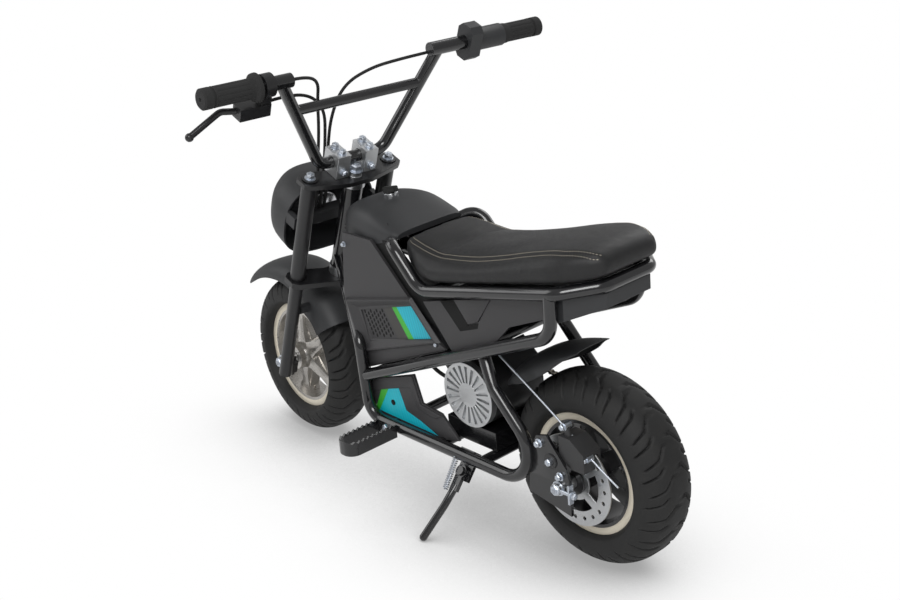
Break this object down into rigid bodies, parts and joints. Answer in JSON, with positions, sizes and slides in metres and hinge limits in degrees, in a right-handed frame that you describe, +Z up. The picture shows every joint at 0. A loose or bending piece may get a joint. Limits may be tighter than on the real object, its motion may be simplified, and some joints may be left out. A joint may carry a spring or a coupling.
{
  "type": "electric minibike",
  "caption": "Small electric minibike with a tube frame, side covers, hub-high pegs, bench seat, mask headlight and wide bars, leaning on its side stand",
  "frame": {"origin": "middle of the footprint of its bounding box, on the ground", "axes": "+X forward, +Y to the rider's left, +Z up; the bike leans 6 degrees to its left onto its side stand"},
  "size_m": [0.9612, 0.6324, 0.7166],
  "materials": {
    "black_paint": "gloss black powder coat",
    "fork_paint": "satin black paint",
    "panel_plastic": "charcoal satin plastic",
    "cover_plastic": "dark grey moulded plastic",
    "seat_cover": "black grained vinyl with pale stitching",
    "tyre": "black tread rubber",
    "rear_rim_paint": "black painted barrel",
    "front_rim_metal": "polished cast aluminium",
    "steel": "bright zinc",
    "chain_steel": "oiled steel",
    "motor_paint": "black motor case",
    "motor_silver": "die-cast aluminium",
    "caliper_metal": "black caliper",
    "battery_case": "black battery case",
    "grip_rubber": "ribbed black rubber",
    "cable_sheath": "black cable sheath",
    "key_metal": "plated lock barrel",
    "lens": "clear lamp lens"
  },
  "bodies": {
    "frame": {"backbone_tube": "black_paint", "battery_block": "battery_case", "brake_cable": "cable_sheath", "brake_caliper": "caliper_metal", "cross_tubes": "black_paint", "drive_chain": "chain_steel", "dropout_left": "black_paint", "dropout_right": "black_paint", "foot_peg_left": "black_paint", "foot_peg_right": "black_paint", "head_tube": "black_paint", "key_switch": "key_metal", "lower_panel_left": "panel_plastic", "lower_panel_right": "panel_plastic", "mid_rail_left": "black_paint", "mid_rail_right": "black_paint", "motor": "motor_paint", "motor_cover": "motor_silver", "motor_cradle": "black_paint", "motor_lead": "cable_sheath", "motor_sprocket": "steel", "rear_axle": "steel", "rear_fender": "cover_plastic", "rear_panel_left": "panel_plastic", "rear_panel_right": "panel_plastic", "seat": "seat_cover", "seat_loop": "black_paint", "side_panel_left": "panel_plastic", "side_panel_right": "panel_plastic", "side_tube_left": "black_paint", "side_tube_right": "black_paint", "stand_bracket": "black_paint", "tail_tray": "cover_plastic", "tank_cover": "cover_plastic"},
    "rear_wheel": {"rear_tyre": "tyre", "rear_rim": "rear_rim_paint", "brake_rotor": "steel", "rear_sprocket": "steel"},
    "steering": {"steering_stem": "steel", "lower_yoke": "black_paint", "top_clamp": "black_paint", "fork_leg_left": "fork_paint", "fork_leg_right": "fork_paint", "handlebar": "black_paint", "bar_clamps": "motor_silver", "grip_left": "grip_rubber", "grip_right": "grip_rubber", "throttle_case": "cover_plastic", "brake_lever": "cover_plastic", "headlight_shell": "cover_plastic", "headlight_lens": "lens", "headlight_bracket": "black_paint", "front_fender": "cover_plastic", "front_axle": "steel", "cable_brake": "cable_sheath", "cable_switch": "cable_sheath", "cable_throttle": "cable_sheath"},
    "front_wheel": {"front_tyre": "tyre", "front_rim": "front_rim_metal"},
    "side_stand": {"stand_leg": "black_paint"}
  },
  "joints": [
    {"name": "rear_wheel_turn", "type": "hinge", "parent": "frame", "child": "rear_wheel", "pos_m": [-0.33464, -0.01873, 0.14593], "axis": [0, 0.9945, -0.1045], "continuous": true},
    {"name": "steering_turn", "type": "hinge", "parent": "frame", "child": "steering", "pos_m": [0.30471, -0.02107, 0.12372], "axis": [-0.342, 0.0982, 0.9345], "range_deg": [-33, 42]},
    {"name": "front_wheel_turn", "type": "hinge", "parent": "steering", "child": "front_wheel", "pos_m": [0.34124, -0.02279, 0.13726], "axis": [0.0754, 0.9942, -0.0769], "continuous": true},
    {"name": "side_stand_fold", "type": "hinge", "parent": "frame", "child": "side_stand", "pos_m": [-0.14264, 0.07596, 0.09978], "axis": [0, 0.836, 0.5488], "range_deg": [0, 95]}
  ]
}
